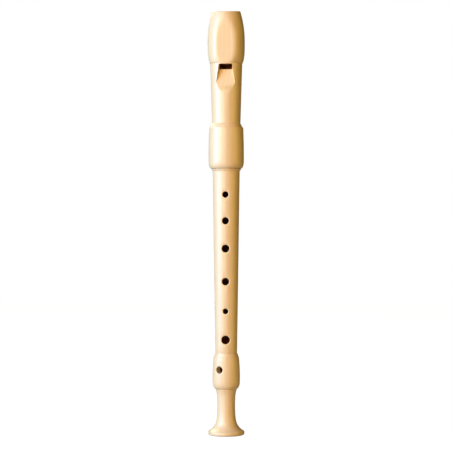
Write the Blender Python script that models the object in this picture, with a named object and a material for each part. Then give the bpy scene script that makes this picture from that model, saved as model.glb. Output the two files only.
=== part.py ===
"""A soprano recorder in three wooden joints, in metres, standing on its bell.

The bore runs along +Z from the centre of the bell's end face. The window and the finger holes
face -Y, the thumb hole and the scooped side of the beak face +Y.
"""

import math

import bmesh
import bpy
from mathutils import Matrix, Vector

# Clearances
SEAM = 0.0003           # between one joint's shoulder and the next joint's end
FIT_GAP = 0.0003        # all round a cork band, inside and out, and all round the block
CORK_PROUD = 0.0002     # a cork's surface stands this far out of its tenon

# Bore, as radii
BELL_BORE = 0.00440
FOOT_BORE = 0.00475
MIDDLE_BORE_LOW = 0.00490
MIDDLE_BORE_HIGH = 0.00650
HEAD_BORE = 0.00675

# Foot joint, from the bell's end face upwards
BELL_WIDENING = 0.0073      # how far the bell's rim stands out from the neck
BELL_RIM = 0.0031           # height of the rim
BELL_EDGE = 0.0012          # round on the rim's two edges
BELL_EDGE_TURN = 60.0       # degrees of the upper round before the flare takes over
BELL_FLARE = 0.0196         # from the rim up to the thinnest place of the neck
FLARE_FALL = 0.0038         # the flare falls to 1/e of itself over this height
BELL_MOUTH = 0.0008         # countersink of the bore in the bell's end face
NECK_WALL = 0.00215         # outside the foot's bore at the thinnest place
NECK_LENGTH = 0.0127        # from the thinnest place up to the barrel
NECK_COVE = 0.0014          # how far the neck widens to meet the barrel
COVE_FALL = 0.0032
BARREL_STEP = 0.0004        # the barrel's lower edge stands out from the neck's cove
BARREL_LENGTH = 0.0252      # up to the lip
BARREL_WIDEST = 0.0100      # height of the widest place above the barrel's lower edge
BARREL_SWELL = 0.0007       # widest place against the barrel's upper edge
BARREL_FULLNESS = 5.0       # the higher, the sooner an outline swells above its foot
LIP_HEIGHT = 0.0032         # chamfered lip round the mouth of the socket
LIP_WALL = 0.0009
LIP_SLOPE = 0.0014          # how much wider the lip is at its foot
LIP_STEP = 0.0001           # the barrel's upper edge stands out from the lip's foot
LIP_EDGE = 0.0002

# Middle joint
MIDDLE_LENGTH = 0.1438      # between its two shoulders
LOW_SHOULDER = 0.0012       # width of the shoulder round each tenon
HIGH_SHOULDER = 0.0023
MIDDLE_EDGE = 0.0002
RING_HEIGHT = 0.0018        # turned ring under the head joint
RING_COVE = 0.0010          # height of the small cove under the ring's line
RING_STEP = 0.0003          # the ring stands out from the body
RING_FALL = 0.0007          # the ring is narrower at its foot than at its top
RING_FULLNESS = 2.0

# Tenons and their corks
UPPER_TENON_LENGTH = 0.0220
UPPER_CORK_WALL = 0.0014        # wood left under the cork
UPPER_CORK_THICKNESS = 0.0010
UPPER_CORK_LENGTH = 0.0130
UPPER_TENON_NOSE = 0.0044       # bare wood between the cork's groove and the tenon's end
LOWER_TENON_LENGTH = 0.0088
LOWER_CORK_WALL = 0.0013
LOWER_CORK_THICKNESS = 0.0008
LOWER_CORK_LENGTH = 0.0045
LOWER_TENON_NOSE = 0.0018
CORK_EDGE = 0.0002
TENON_CHAMFER = 0.0004
SOCKET_CHAMFER = 0.0003

# Head joint, from its lower end upwards
SOCKET_MOUTH_WALL = 0.0027
SOCKET_SWELL = 0.0016           # widest place of the socket against its mouth
SOCKET_FULLNESS = 4.4
SOCKET_LENGTH = 0.0323          # the barrel round the socket, up to the collar
SOCKET_WIDEST = 0.0085          # height of the widest place above the mouth
SOCKET_TAPER = 0.00045          # how much the barrel narrows towards the collar
SOCKET_EDGE = 0.0010            # round at the barrel's upper end
COLLAR_HEIGHT = 0.0028          # conical collar between the tube and the barrel
COLLAR_SLOPE = 0.0010           # how much wider the collar is at its foot
COLLAR_STEP = 0.00025           # the collar's top stands out from the tube
TUBE_WALL_LOW = 0.00435
TUBE_WALL_HIGH = 0.00575
TUBE_LENGTH = 0.0470            # from the collar to the beak's ring line
BULB_STEP = 0.00025             # the bulb's foot stands out from the tube
BULB_SWELL = 0.00175            # widest place of the bulb against its foot
BULB_FULLNESS = 4.0
BULB_LENGTH = 0.0409            # from the ring line to the tip
BULB_WIDEST = 0.0176            # height of the widest place above the ring line
TIP_WALL = 0.00445
TIP_EDGE = 0.0007
LINE_DEPTH = 0.00022            # fine turned lines
LINE_WIDTH = 0.0006

# Windway, window and labium
WINDWAY_EXIT_WIDTH = 0.0098
WINDWAY_MOUTH_WIDTH = 0.0112
WINDWAY_EXIT_HEIGHT = 0.0011
WINDWAY_MOUTH_HEIGHT = 0.0018
FLOOR_EXIT_DROP = 0.00005       # the block's floor lies this far under the top of the bore
FLOOR_MOUTH_DROP = 0.00035
WINDOW_DROP = 0.0011            # from the ring line down to the windway's end
CUT_UP = 0.0040                 # from the windway's end down to the labium's edge
LABIUM_RISE = 0.0004            # the labium's edge stands this far above the block's floor
RAMP_ANGLE = math.radians(13.6)
RAMP_FLARE = math.radians(9.6)      # each side wall of the ramp opens by this angle down the joint
RAMP_DRAFT = math.radians(10.0)     # and leans outwards by this angle
RAMP_INSET = 0.0001                 # the side walls start this far inside the slot's sides
UNDERCUT_LENGTH = 0.0080            # flat under the labium, before it runs out into the bore
UNDERCUT_RUNOUT = 0.0060
BLOCK_CHAMFER = 0.0006

# Beak
ROOF_WALL_LOW = 0.00445         # wood between the windway's roof and the front facet
ROOF_WALL_HIGH = 0.0045
FACET_BLEND = 0.0009            # how softly the facet runs into the round
SCOOP_RADIUS = 0.0360           # the hollow cut of the beak's rear side
TIP_REAR = 0.0005               # that cut lies this far in front of the bore's axis at the tip
TIP_SLANT = math.radians(7.0)   # the end face falls towards the front lip by this angle

# Tone holes: height above the middle joint's lower shoulder, and diameter
FINGER_HOLES = (
    (0.1235, 0.0047),
    (0.1031, 0.0053),
    (0.0815, 0.0058),
    (0.0558, 0.0056),
    (0.0327, 0.0041),
    (0.0104, 0.0065),
)
THUMB_HOLE = (0.1305, 0.0055)
FOOT_HOLE_DROP = 0.0126         # centre of the little-finger hole below the foot's upper end
FOOT_HOLE_DIAMETER = 0.0054
FOOT_HOLE_TURN = math.radians(29.0)
HOLE_UNDERCUT = 0.0003          # how much wider a hole's radius is at the bore

# Facets, and how the points of a curved outline crowd where it bends most
ROUND_STEPS = 48
BLOCK_STEPS = 40
HOLE_STEPS = 24
SCOOP_STEPS = 96
CROWDING = 1.6
SHARP_ANGLE = math.radians(28.0)

# Cutters start or end this far outside what they cut, and reach out to this many of its radii
PAST_END = 0.0010
REACH = 2.0

# Colour and roughness of each material
MAPLE = ((0.86, 0.68, 0.42), 0.38)
CEDAR = ((0.50, 0.27, 0.16), 0.60)
CORK = ((0.62, 0.43, 0.26), 0.85)

# Radii worked out from the bore outwards
LOWER_CORK_INSIDE = MIDDLE_BORE_LOW + LOWER_CORK_WALL + FIT_GAP
LOWER_CORK_OUTSIDE = LOWER_CORK_INSIDE + LOWER_CORK_THICKNESS
LOWER_SOCKET = LOWER_CORK_OUTSIDE + FIT_GAP
UPPER_CORK_INSIDE = MIDDLE_BORE_HIGH + UPPER_CORK_WALL + FIT_GAP
UPPER_CORK_OUTSIDE = UPPER_CORK_INSIDE + UPPER_CORK_THICKNESS
UPPER_SOCKET = UPPER_CORK_OUTSIDE + FIT_GAP
NECK_RADIUS = FOOT_BORE + NECK_WALL
BELL_RADIUS = NECK_RADIUS + BELL_WIDENING
MIDDLE_LOW_RADIUS = LOWER_CORK_OUTSIDE + LOW_SHOULDER
RING_RADIUS = UPPER_CORK_OUTSIDE + HIGH_SHOULDER
MIDDLE_HIGH_RADIUS = RING_RADIUS - RING_FALL - RING_STEP
LIP_RADIUS = LOWER_SOCKET + LIP_WALL
BARREL_HIGH_RADIUS = LIP_RADIUS + LIP_SLOPE + LIP_STEP
SOCKET_MOUTH_RADIUS = UPPER_SOCKET + SOCKET_MOUTH_WALL
SOCKET_RADIUS = SOCKET_MOUTH_RADIUS + SOCKET_SWELL
TUBE_LOW_RADIUS = HEAD_BORE + TUBE_WALL_LOW
TUBE_HIGH_RADIUS = HEAD_BORE + TUBE_WALL_HIGH
BULB_FOOT_RADIUS = TUBE_HIGH_RADIUS + BULB_STEP
BULB_RADIUS = BULB_FOOT_RADIUS + BULB_SWELL
TIP_RADIUS = HEAD_BORE + TIP_WALL

# Heights worked out from the lengths
BARREL_LOW = BELL_RIM + BELL_FLARE + NECK_LENGTH
LIP_LOW = BARREL_LOW + BARREL_LENGTH
FOOT_TOP = LIP_LOW + LIP_HEIGHT
MIDDLE_LOW = FOOT_TOP + SEAM
MIDDLE_HIGH = MIDDLE_LOW + MIDDLE_LENGTH
HEAD_LOW = MIDDLE_HIGH + SEAM
COLLAR_LOW = HEAD_LOW + SOCKET_LENGTH
TUBE_LOW = COLLAR_LOW + COLLAR_HEIGHT
RING_LINE = TUBE_LOW + TUBE_LENGTH
TIP = RING_LINE + BULB_LENGTH
WINDWAY_END = RING_LINE - WINDOW_DROP
LABIUM_LINE = WINDWAY_END - CUT_UP
LOWER_TENON_END = MIDDLE_LOW - LOWER_TENON_LENGTH
UPPER_TENON_END = MIDDLE_HIGH + UPPER_TENON_LENGTH
LOWER_CORK_LOW = LOWER_TENON_END + LOWER_TENON_NOSE + FIT_GAP
LOWER_CORK_HIGH = LOWER_CORK_LOW + LOWER_CORK_LENGTH
UPPER_CORK_HIGH = UPPER_TENON_END - UPPER_TENON_NOSE - FIT_GAP
UPPER_CORK_LOW = UPPER_CORK_HIGH - UPPER_CORK_LENGTH

# Heights of the windway in front of the bore's axis
FLOOR_EXIT = HEAD_BORE - FLOOR_EXIT_DROP
FLOOR_MOUTH = HEAD_BORE - FLOOR_MOUTH_DROP
ROOF_EXIT = FLOOR_EXIT + WINDWAY_EXIT_HEIGHT
ROOF_MOUTH = FLOOR_MOUTH + WINDWAY_MOUTH_HEIGHT
LABIUM_HEIGHT = FLOOR_EXIT + LABIUM_RISE
FACET_LOW = ROOF_EXIT + ROOF_WALL_LOW
FACET_HIGH = ROOF_MOUTH + ROOF_WALL_HIGH

# Outlines. Every point is (radius, height).


def arc(centre, radius, start, end, steps):
    """Points on an arc of a turned outline, from one angle to another, in degrees."""
    points = []
    for step in range(steps + 1):
        angle = math.radians(start + (end - start) * step / steps)
        points.append((centre[0] + radius * math.cos(angle), centre[1] + radius * math.sin(angle)))
    return points


def fall(wide, narrow, low, high, scale, steps, up):
    """A flare that falls away exponentially from its wide end to its narrow end."""
    points = []
    for step in range(steps + 1):
        distance = (high - low) * (step / steps) ** CROWDING
        radius = narrow + (wide - narrow) * math.exp(-distance / scale)
        points.append((radius, low + distance if up else high - distance))
    return points if up else points[::-1]


def rise(start, widest, fullness, steps):
    """A convex outline from a narrow point up to just before the widest, both (radius, height)."""
    points = []
    for step in range(steps):
        part = (step / steps) ** CROWDING
        radius = widest[0] - (widest[0] - start[0]) * (1.0 - part) ** fullness
        points.append((radius, start[1] + (widest[1] - start[1]) * part))
    return points


def taper(widest, end, steps):
    """A convex outline, a parabola, from the widest point up to a narrower end."""
    points = []
    for step in range(steps + 1):
        part = step / steps
        radius = widest[0] - (widest[0] - end[0]) * part**2
        points.append((radius, widest[1] + (end[1] - widest[1]) * part))
    return points


def turned_line(below, above, height):
    """A fine line cut round the work at this height, between the radii on its two sides."""
    return [
        (below, height - LINE_WIDTH / 2),
        (min(below, above) - LINE_DEPTH, height),
        (above, height + LINE_WIDTH / 2),
    ]


def cork_groove(low, high, inside, outside):
    """The groove in a tenon that a cork from this height to that one lies in."""
    wood = outside - CORK_PROUD
    floor = inside - FIT_GAP
    return [
        (wood, low - FIT_GAP),
        (floor, low - FIT_GAP),
        (floor, high + FIT_GAP),
        (wood, high + FIT_GAP),
    ]


def foot_outline():
    edge = BELL_RADIUS - BELL_EDGE
    turned = math.radians(BELL_EDGE_TURN)
    round_centre = (edge, BELL_RIM - BELL_EDGE * math.sin(turned))
    flare_radius = edge + BELL_EDGE * math.cos(turned)
    thin = BELL_RIM + BELL_FLARE
    cove = NECK_RADIUS + NECK_COVE
    widest = (BARREL_HIGH_RADIUS + BARREL_SWELL, BARREL_LOW + BARREL_WIDEST)
    lip_line = LIP_LOW - LINE_WIDTH / 2
    outline = [(BELL_BORE + BELL_MOUTH, 0.0)]
    outline += arc((edge, BELL_EDGE), BELL_EDGE, -90.0, 0.0, 4)
    outline += arc(round_centre, BELL_EDGE, 0.0, BELL_EDGE_TURN, 3)[:-1]
    outline += fall(flare_radius, NECK_RADIUS, BELL_RIM, thin, FLARE_FALL, 8, True)
    outline += fall(cove, NECK_RADIUS, thin, BARREL_LOW, COVE_FALL, 5, False)[1:]
    outline += rise((cove + BARREL_STEP, BARREL_LOW + LINE_WIDTH), widest, BARREL_FULLNESS, 6)
    outline += taper(widest, (BARREL_HIGH_RADIUS, LIP_LOW - LINE_WIDTH), 4)[:-1]
    outline += turned_line(BARREL_HIGH_RADIUS, LIP_RADIUS + LIP_SLOPE, lip_line)
    outline.append((LIP_RADIUS, FOOT_TOP - LIP_EDGE))
    outline.append((LIP_RADIUS - LIP_EDGE, FOOT_TOP))
    outline.append((LOWER_SOCKET + SOCKET_CHAMFER, FOOT_TOP))
    outline.append((LOWER_SOCKET, FOOT_TOP - SOCKET_CHAMFER))
    outline.append((LOWER_SOCKET, LOWER_TENON_END - FIT_GAP))
    outline.append((FOOT_BORE, LOWER_TENON_END - FIT_GAP))
    outline.append((BELL_BORE, BELL_MOUTH))
    return outline


def middle_outline():
    low_wood = LOWER_CORK_OUTSIDE - CORK_PROUD
    high_wood = UPPER_CORK_OUTSIDE - CORK_PROUD
    ring_line = MIDDLE_HIGH - RING_HEIGHT
    ring_foot = (MIDDLE_HIGH_RADIUS + RING_STEP, ring_line + LINE_WIDTH / 2)
    cove_top = (MIDDLE_HIGH_RADIUS + RING_STEP / 2, ring_line)
    ring_top = (RING_RADIUS, MIDDLE_HIGH - MIDDLE_EDGE)
    outline = [(MIDDLE_BORE_LOW, LOWER_TENON_END)]
    outline.append((low_wood - TENON_CHAMFER, LOWER_TENON_END))
    outline.append((low_wood, LOWER_TENON_END + TENON_CHAMFER))
    outline += cork_groove(LOWER_CORK_LOW, LOWER_CORK_HIGH, LOWER_CORK_INSIDE, LOWER_CORK_OUTSIDE)
    outline.append((low_wood, MIDDLE_LOW))
    outline.append((MIDDLE_LOW_RADIUS - MIDDLE_EDGE, MIDDLE_LOW))
    outline.append((MIDDLE_LOW_RADIUS, MIDDLE_LOW + MIDDLE_EDGE))
    outline.append((MIDDLE_HIGH_RADIUS, ring_line - LINE_WIDTH / 2 - RING_COVE))
    outline += turned_line(cove_top[0], ring_foot[0], ring_line)[:-1]
    outline += rise(ring_foot, ring_top, RING_FULLNESS, 3)
    outline.append(ring_top)
    outline.append((RING_RADIUS - MIDDLE_EDGE, MIDDLE_HIGH))
    outline.append((high_wood, MIDDLE_HIGH))
    outline += cork_groove(UPPER_CORK_LOW, UPPER_CORK_HIGH, UPPER_CORK_INSIDE, UPPER_CORK_OUTSIDE)
    outline.append((high_wood, UPPER_TENON_END - TENON_CHAMFER))
    outline.append((high_wood - TENON_CHAMFER, UPPER_TENON_END))
    outline.append((MIDDLE_BORE_HIGH, UPPER_TENON_END))
    return outline


def head_outline():
    outline = [(UPPER_SOCKET + SOCKET_CHAMFER, HEAD_LOW)]
    widest = (SOCKET_RADIUS, HEAD_LOW + SOCKET_WIDEST)
    outline += rise((SOCKET_MOUTH_RADIUS, HEAD_LOW), widest, SOCKET_FULLNESS, 6)
    barrel_top = SOCKET_RADIUS - SOCKET_TAPER
    outline += taper(widest, (barrel_top, COLLAR_LOW - SOCKET_EDGE), 3)
    outline += arc((barrel_top - SOCKET_EDGE, COLLAR_LOW - SOCKET_EDGE), SOCKET_EDGE, 20.0, 65.0, 3)
    collar = TUBE_LOW_RADIUS + COLLAR_STEP
    outline.append((collar + COLLAR_SLOPE - LINE_DEPTH / 2, COLLAR_LOW + LINE_WIDTH / 4))
    outline.append((collar + COLLAR_SLOPE, COLLAR_LOW + LINE_WIDTH))
    outline.append((collar, TUBE_LOW - LINE_WIDTH / 2))
    outline.append((TUBE_LOW_RADIUS, TUBE_LOW))
    outline.append((tube_radius(LABIUM_LINE), LABIUM_LINE))
    outline.append((tube_radius(WINDWAY_END), WINDWAY_END))
    outline += turned_line(TUBE_HIGH_RADIUS, TUBE_HIGH_RADIUS, RING_LINE - LINE_WIDTH / 2)
    widest = (BULB_RADIUS, RING_LINE + BULB_WIDEST)
    outline += rise((BULB_FOOT_RADIUS, RING_LINE), widest, BULB_FULLNESS, 8)
    outline += taper(widest, (TIP_RADIUS, TIP - TIP_EDGE), 9)
    outline += arc((TIP_RADIUS - TIP_EDGE, TIP - TIP_EDGE), TIP_EDGE, 25.0, 90.0, 3)
    outline.append((HEAD_BORE, TIP))
    outline.append((HEAD_BORE, UPPER_TENON_END + FIT_GAP))
    outline.append((UPPER_SOCKET, UPPER_TENON_END + FIT_GAP))
    outline.append((UPPER_SOCKET, HEAD_LOW + SOCKET_CHAMFER))
    return outline


def tube_radius(height):
    """Outer radius of the head's tapered tube at this height."""
    part = (height - TUBE_LOW) / TUBE_LENGTH
    return TUBE_LOW_RADIUS + (TUBE_HIGH_RADIUS - TUBE_LOW_RADIUS) * part


def beak_facet(radius, height, angle):
    """The head's radius where the flat front of the beak cuts it, run softly into the round."""
    across = math.cos(angle)
    if height < WINDWAY_END or across <= 0.0:
        return radius
    part = (height - RING_LINE) / BULB_LENGTH
    flat = (FACET_LOW + (FACET_HIGH - FACET_LOW) * part) / across
    if abs(flat - radius) >= FACET_BLEND:
        return min(flat, radius)
    share = (1.0 + (flat - radius) / FACET_BLEND) / 2
    return flat + (radius - flat) * share - FACET_BLEND * share * (1.0 - share)


def tip_slant(front, height):
    """How far the slanted end face lowers a point this far in front of the axis."""
    part = (height - RING_LINE - BULB_WIDEST) / (BULB_LENGTH - BULB_WIDEST)
    return front * math.tan(TIP_SLANT) * max(part, 0.0) ** 2


# Making solids


def add_object(name, mesh_data, finish=None):
    made = bpy.data.objects.new(name, mesh_data)
    bpy.context.scene.collection.objects.link(made)
    if finish:
        colour, roughness = finish
        material = bpy.data.materials.new(name + "_finish")
        material.use_nodes = True
        shader = material.node_tree.nodes["Principled BSDF"]
        shader.inputs["Base Color"].default_value = (*colour, 1.0)
        shader.inputs["Roughness"].default_value = roughness
        material.diffuse_color = (*colour, 1.0)
        made.data.materials.append(material)
        made.data.shade_smooth()
        made.data.set_sharp_from_angle(angle=SHARP_ANGLE)
    return made


def mesh_from(bm, name):
    bmesh.ops.recalc_face_normals(bm, faces=bm.faces)
    data = bpy.data.meshes.new(name)
    bm.to_mesh(data)
    bm.free()
    return data


def turn(name, outline, beaked=False):
    """A body of revolution about Z from a closed outline; a beaked one gets its facet and slant."""
    bm = bmesh.new()
    rings = []
    for step in range(ROUND_STEPS):
        angle = 2.0 * math.pi * step / ROUND_STEPS
        ring = []
        for radius, height in outline:
            if beaked:
                radius = beak_facet(radius, height, angle)
                height -= tip_slant(radius * math.cos(angle), height)
            ring.append(bm.verts.new((radius * math.sin(angle), -radius * math.cos(angle), height)))
        rings.append(ring)
    for step, ring in enumerate(rings):
        following = rings[(step + 1) % ROUND_STEPS]
        for i in range(len(outline)):
            j = (i + 1) % len(outline)
            bm.faces.new((ring[i], following[i], following[j], ring[j]))
    return mesh_from(bm, name)


def loft(name, sections):
    """A closed solid through rings of points that all have the same number of points."""
    bm = bmesh.new()
    rings = [[bm.verts.new(point) for point in section] for section in sections]
    count = len(rings[0])
    for ring, following in zip(rings, rings[1:]):
        for i in range(count):
            j = (i + 1) % count
            bm.faces.new((ring[i], ring[j], following[j], following[i]))
    bm.faces.new(rings[0])
    bm.faces.new(rings[-1])
    return mesh_from(bm, name)


def as_cutter(name, data):
    cutter = add_object(name, data)
    cutter.hide_render = True
    cutter.display_type = "WIRE"
    return cutter


def cut(body, cutter):
    modifier = body.modifiers.new(cutter.name, "BOOLEAN")
    modifier.operation = "DIFFERENCE"
    modifier.solver = "EXACT"
    modifier.object = cutter


# Cutters


def slot_section(half_width, front, height):
    """A rectangle from the bore's axis to this far in front of it."""
    return [
        (-half_width, 0.0, height),
        (half_width, 0.0, height),
        (half_width, -front, height),
        (-half_width, -front, height),
    ]


def broach():
    """The windway's slot, which runs on through the window and under the labium."""
    slope = (ROOF_MOUTH - ROOF_EXIT) / (TIP - WINDWAY_END)
    widen = (WINDWAY_MOUTH_WIDTH - WINDWAY_EXIT_WIDTH) / 2 / (TIP - WINDWAY_END)
    exit_half = WINDWAY_EXIT_WIDTH / 2
    end_half = WINDWAY_MOUTH_WIDTH / 2 + widen * PAST_END
    run = LABIUM_LINE - UNDERCUT_LENGTH
    inside = math.sqrt(HEAD_BORE**2 - exit_half**2) / 2
    sections = [
        slot_section(exit_half, inside, run - UNDERCUT_RUNOUT),
        slot_section(exit_half, LABIUM_HEIGHT, run),
        slot_section(exit_half, LABIUM_HEIGHT, LABIUM_LINE),
        slot_section(exit_half, ROOF_EXIT, WINDWAY_END),
        slot_section(end_half, ROOF_MOUTH + slope * PAST_END, TIP + PAST_END),
    ]
    return as_cutter("broach", loft("broach", sections))


def ramp_section(height):
    """The ramp cutter's outline at this height: its floor on the ramp, its sides leaning out."""
    down = WINDWAY_END - height
    floor = LABIUM_HEIGHT + (LABIUM_LINE - height) * math.tan(RAMP_ANGLE)
    half = WINDWAY_EXIT_WIDTH / 2 - RAMP_INSET + down * math.tan(RAMP_FLARE)
    outside = REACH * TUBE_HIGH_RADIUS
    spread = half + (outside - floor) * math.tan(RAMP_DRAFT)
    return [
        (-half, -floor, height),
        (half, -floor, height),
        (spread, -outside, height),
        (-spread, -outside, height),
    ]


def ramp_cutter():
    """The window and the ramp below it, as one wedge from the windway's end down the tube."""
    length = REACH * (TUBE_HIGH_RADIUS - LABIUM_HEIGHT) / math.tan(RAMP_ANGLE)
    sections = [ramp_section(LABIUM_LINE - length), ramp_section(WINDWAY_END)]
    return as_cutter("ramp_cutter", loft("ramp_cutter", sections))


def scoop_cutter():
    """The big round cut that hollows the beak's rear side, with no edge level with the tip."""
    bm = bmesh.new()
    half_step = Matrix.Rotation(math.pi / SCOOP_STEPS, 4, "X")
    lie = half_step @ Matrix.Rotation(math.radians(90.0), 4, "Y")
    centre = Vector((0.0, SCOOP_RADIUS - TIP_REAR, TIP))
    bmesh.ops.create_cone(
        bm,
        cap_ends=True,
        segments=SCOOP_STEPS,
        radius1=SCOOP_RADIUS,
        radius2=SCOOP_RADIUS,
        depth=2 * REACH * BULB_RADIUS,
        matrix=Matrix.Translation(centre) @ lie,
    )
    return as_cutter("scoop_cutter", mesh_from(bm, "scoop_cutter"))


def hole_cutter(name, height, diameter, turned, bore, outside):
    """A tone hole drilled from the outside to the axis, a little wider where it meets the bore."""
    bm = bmesh.new()
    reach = REACH * outside
    spread = HOLE_UNDERCUT / (outside - bore)
    inner = diameter / 2 + spread * outside
    outer = diameter / 2 - spread * (reach - outside)
    stand = Matrix.Rotation(math.radians(90.0), 4, "X")
    bmesh.ops.create_cone(
        bm,
        cap_ends=True,
        segments=HOLE_STEPS,
        radius1=inner,
        radius2=outer,
        depth=reach,
        matrix=Matrix.Translation((0.0, -reach / 2, 0.0)) @ stand,
    )
    place = Matrix.Translation((0.0, 0.0, height)) @ Matrix.Rotation(turned, 4, "Z")
    bmesh.ops.transform(bm, matrix=place, verts=bm.verts)
    return as_cutter(name, mesh_from(bm, name))


# Pieces


def make_foot():
    foot = add_object("foot_joint", turn("foot_joint", foot_outline()), MAPLE)
    height = FOOT_TOP - FOOT_HOLE_DROP
    hole = hole_cutter(
        "little_finger_hole",
        height,
        FOOT_HOLE_DIAMETER,
        -FOOT_HOLE_TURN,
        FOOT_BORE,
        BARREL_HIGH_RADIUS + BARREL_SWELL,
    )
    cut(foot, hole)
    return foot


def make_middle():
    middle = add_object("middle_joint", turn("middle_joint", middle_outline()), MAPLE)
    for number, (above, diameter) in enumerate(FINGER_HOLES, start=1):
        cut(middle, middle_hole(f"finger_hole_{number}", above, diameter, 0.0))
    cut(middle, middle_hole("thumb_hole", *THUMB_HOLE, math.pi))
    return middle


def middle_hole(name, above, diameter, turned):
    part = above / MIDDLE_LENGTH
    bore = MIDDLE_BORE_LOW + (MIDDLE_BORE_HIGH - MIDDLE_BORE_LOW) * part
    outside = MIDDLE_LOW_RADIUS + (MIDDLE_HIGH_RADIUS - MIDDLE_LOW_RADIUS) * part
    return hole_cutter(name, MIDDLE_LOW + above, diameter, turned, bore, outside)


def make_head(scoop):
    head = add_object("head_joint", turn("head_joint", head_outline(), beaked=True), MAPLE)
    cut(head, broach())
    cut(head, ramp_cutter())
    cut(head, scoop)
    return head


def block_section(radius, half_width, floor, height):
    """A round with a flat-topped rail that fills the windway's slot up to its floor."""
    root = math.asin(half_width / radius)
    level = height - tip_slant(floor, height)
    section = [(-half_width, -floor, level), (half_width, -floor, level)]
    for step in range(BLOCK_STEPS + 1):
        angle = root + (2.0 * math.pi - 2.0 * root) * step / BLOCK_STEPS
        front = radius * math.cos(angle)
        section.append((radius * math.sin(angle), -front, height - tip_slant(front, height)))
    return section


def make_block(scoop):
    radius = HEAD_BORE - FIT_GAP
    exit_half = WINDWAY_EXIT_WIDTH / 2 - FIT_GAP
    mouth_half = WINDWAY_MOUTH_WIDTH / 2 - FIT_GAP
    sections = [
        block_section(radius - BLOCK_CHAMFER, exit_half, FLOOR_EXIT - BLOCK_CHAMFER, WINDWAY_END),
        block_section(radius, exit_half, FLOOR_EXIT, WINDWAY_END + BLOCK_CHAMFER),
        block_section(radius, mouth_half, FLOOR_MOUTH, TIP),
    ]
    block = add_object("block", loft("block", sections), CEDAR)
    cut(block, scoop)
    return block


def make_cork(name, low, high, inside, outside):
    outline = [
        (inside, low),
        (outside - CORK_EDGE, low),
        (outside, low + CORK_EDGE),
        (outside, high - CORK_EDGE),
        (outside - CORK_EDGE, high),
        (inside, high),
    ]
    return add_object(name, turn(name, outline), CORK)


def make_corks():
    upper = (UPPER_CORK_LOW, UPPER_CORK_HIGH, UPPER_CORK_INSIDE, UPPER_CORK_OUTSIDE)
    lower = (LOWER_CORK_LOW, LOWER_CORK_HIGH, LOWER_CORK_INSIDE, LOWER_CORK_OUTSIDE)
    make_cork("upper_tenon_cork", *upper)
    make_cork("lower_tenon_cork", *lower)


def clear_scene():
    for old in list(bpy.data.objects):
        bpy.data.objects.remove(old, do_unlink=True)


def main():
    clear_scene()
    scoop = scoop_cutter()
    make_foot()
    make_middle()
    make_corks()
    make_head(scoop)
    make_block(scoop)
    print("length", round(TIP * 1000, 2), "mm")


main()
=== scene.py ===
import math

import bpy
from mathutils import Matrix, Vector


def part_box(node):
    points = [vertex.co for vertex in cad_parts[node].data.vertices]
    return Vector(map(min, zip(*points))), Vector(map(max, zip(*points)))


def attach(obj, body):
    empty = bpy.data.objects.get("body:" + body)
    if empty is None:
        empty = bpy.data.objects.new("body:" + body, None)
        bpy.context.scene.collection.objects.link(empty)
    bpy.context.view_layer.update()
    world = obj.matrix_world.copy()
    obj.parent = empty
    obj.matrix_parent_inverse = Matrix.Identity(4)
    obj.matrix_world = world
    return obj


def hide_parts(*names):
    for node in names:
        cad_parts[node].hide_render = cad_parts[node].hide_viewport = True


# A soprano recorder in oiled maple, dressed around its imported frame.
# Sizes are in millimetres unless a name says otherwise, and become metres where a mesh is made.

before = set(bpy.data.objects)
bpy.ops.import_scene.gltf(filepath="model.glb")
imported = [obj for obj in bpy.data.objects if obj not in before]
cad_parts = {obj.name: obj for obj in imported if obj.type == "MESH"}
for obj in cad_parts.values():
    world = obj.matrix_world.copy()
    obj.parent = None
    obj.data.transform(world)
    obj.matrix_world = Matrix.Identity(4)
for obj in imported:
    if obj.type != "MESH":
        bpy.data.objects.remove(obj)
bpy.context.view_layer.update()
print("frame loaded")

mm = 0.001


def boxOf(node):
    low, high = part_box(node)
    return [c / mm for c in low], [c / mm for c in high]


joints = {
    "seam": 0.3,            # air between one joint's shoulder and the next joint's end
    "fitGap": 0.3,          # round the corks and the block
    "corkProud": 0.2,       # a cork stands out of its tenon by this
    "footTop": boxOf("foot_joint")[1][2],
    "headLow": boxOf("head_joint")[0][2],
    "bellRadius": boxOf("foot_joint")[1][0],
    "lowTenonEnd": boxOf("middle_joint")[0][2],
    "highTenonEnd": boxOf("middle_joint")[1][2],
    "lowCork": boxOf("lower_tenon_cork")[1][0],     # radii from here on
    "highCork": boxOf("upper_tenon_cork")[1][0],
    "bellBore": 4.4,
    "footBore": 4.75,
    "lowBore": 4.9,         # of the middle joint at its two ends
    "highBore": 6.5,
    "headBore": 6.75,
    "lineDepth": 0.22,      # fine lines that the turner cuts
    "lineWidth": 0.6,
    "edge": 0.25,           # worn corners of the joints' ends
    "tightEdge": 0.08,      # hardly any, where foot and middle joint meet
    "mouth": 0.3,           # chamfer inside a socket's mouth
}
middleLow = joints["footTop"] + joints["seam"]
middleHigh = joints["headLow"] - joints["seam"]
lowSocket = joints["lowCork"] + joints["fitGap"]
highSocket = joints["highCork"] + joints["fitGap"]

turning = {
    "flareCrowd": 1.6,      # above 1, points lie closer where a curve is steep
    "swellCrowd": 1.5,
    "outlineWeld": 0.001,   # points closer than this become one
    "turnedWeld": 0.002,
    "jointSteps": 144,      # faces round a turned joint
    "headSteps": 192,
    "jointSmooth": 32,      # degrees; sharper edges than this stay crisp
}


# Selecting and shaping

def deselectAll():
    if bpy.context.object and bpy.context.object.mode != "OBJECT":
        bpy.ops.object.mode_set(mode="OBJECT")
    bpy.ops.object.select_all(action="DESELECT")


def pick(piece):
    deselectAll()
    piece.select_set(True)
    bpy.context.view_layer.objects.active = piece


def applyAll(piece):
    pick(piece)
    for modifier in list(piece.modifiers):
        bpy.ops.object.modifier_apply(modifier=modifier.name)


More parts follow.
